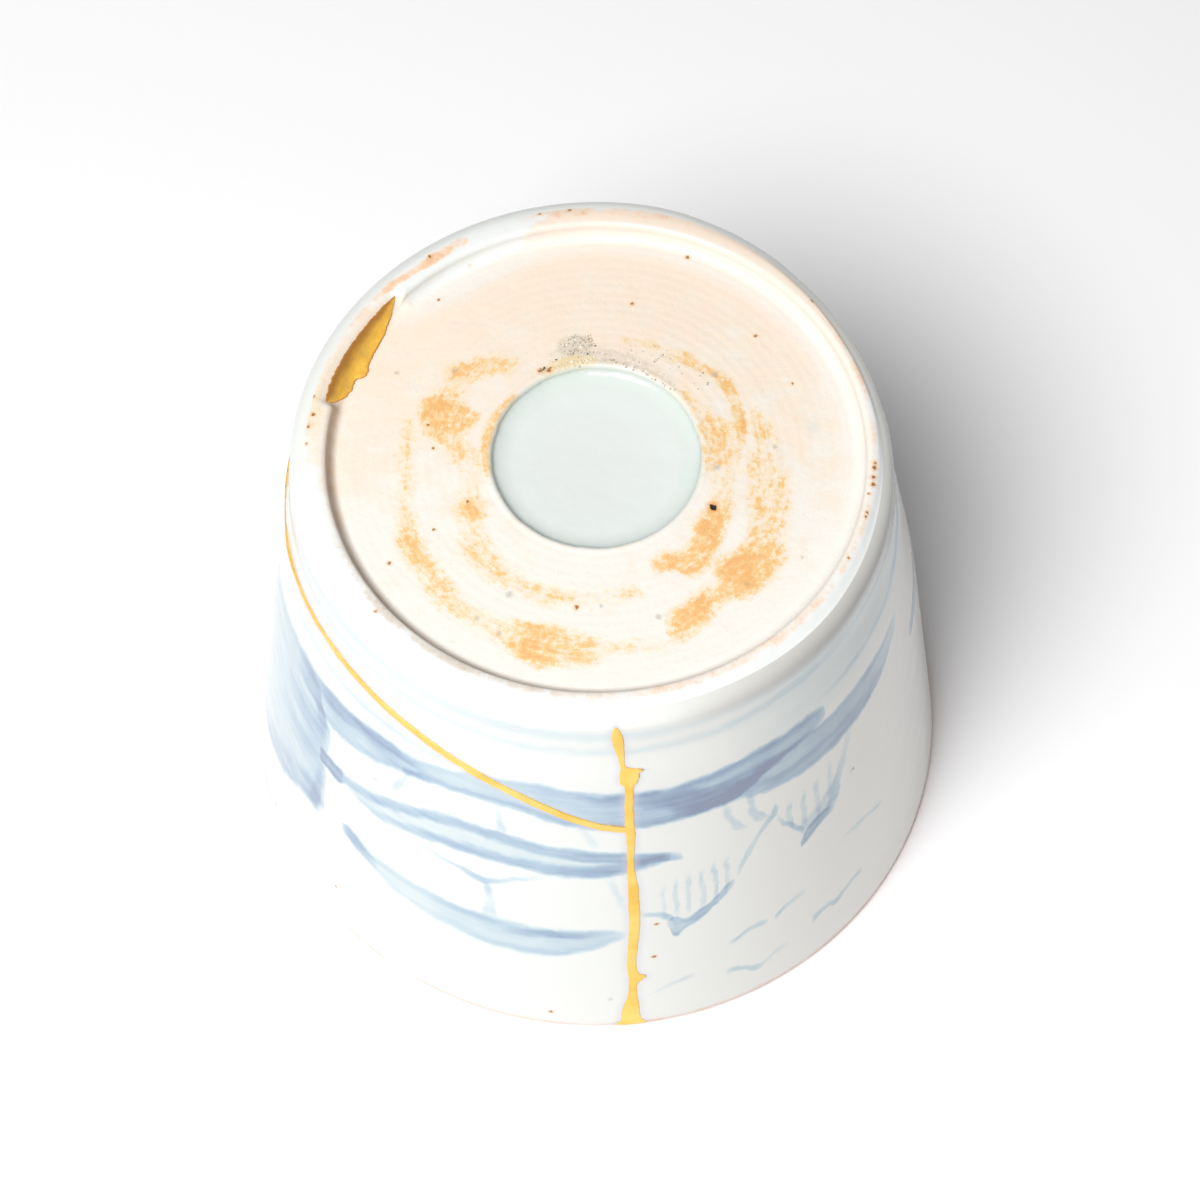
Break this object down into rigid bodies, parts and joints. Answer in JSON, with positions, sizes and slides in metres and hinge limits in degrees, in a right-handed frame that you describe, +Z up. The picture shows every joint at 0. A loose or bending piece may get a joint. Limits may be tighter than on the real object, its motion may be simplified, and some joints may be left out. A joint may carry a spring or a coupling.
{
  "type": "soba cup",
  "caption": "Tapered porcelain soba cup resting on its mouth, with a recessed foot, a bare ring round a glazed well, and cracks and a foot chip mended with gold.",
  "frame": {"origin": "middle of the mouth's plane, on the surface that the cup stands on", "axes": "+Z up through the foot, -Y the front with the upright gold seam, +X to the right of it"},
  "size_m": [0.08, 0.08, 0.0617],
  "materials": {
    "porcelain_glaze": "glossy bluish white glaze over cobalt painting, bare matte clay with iron stains on the foot",
    "gold": "burnished gold powder on lacquer"
  },
  "bodies": {
    "root": {"porcelain_cup": "porcelain_glaze", "gold_seam": "gold", "gold_foot_fill": "gold"}
  },
  "joints": []
}
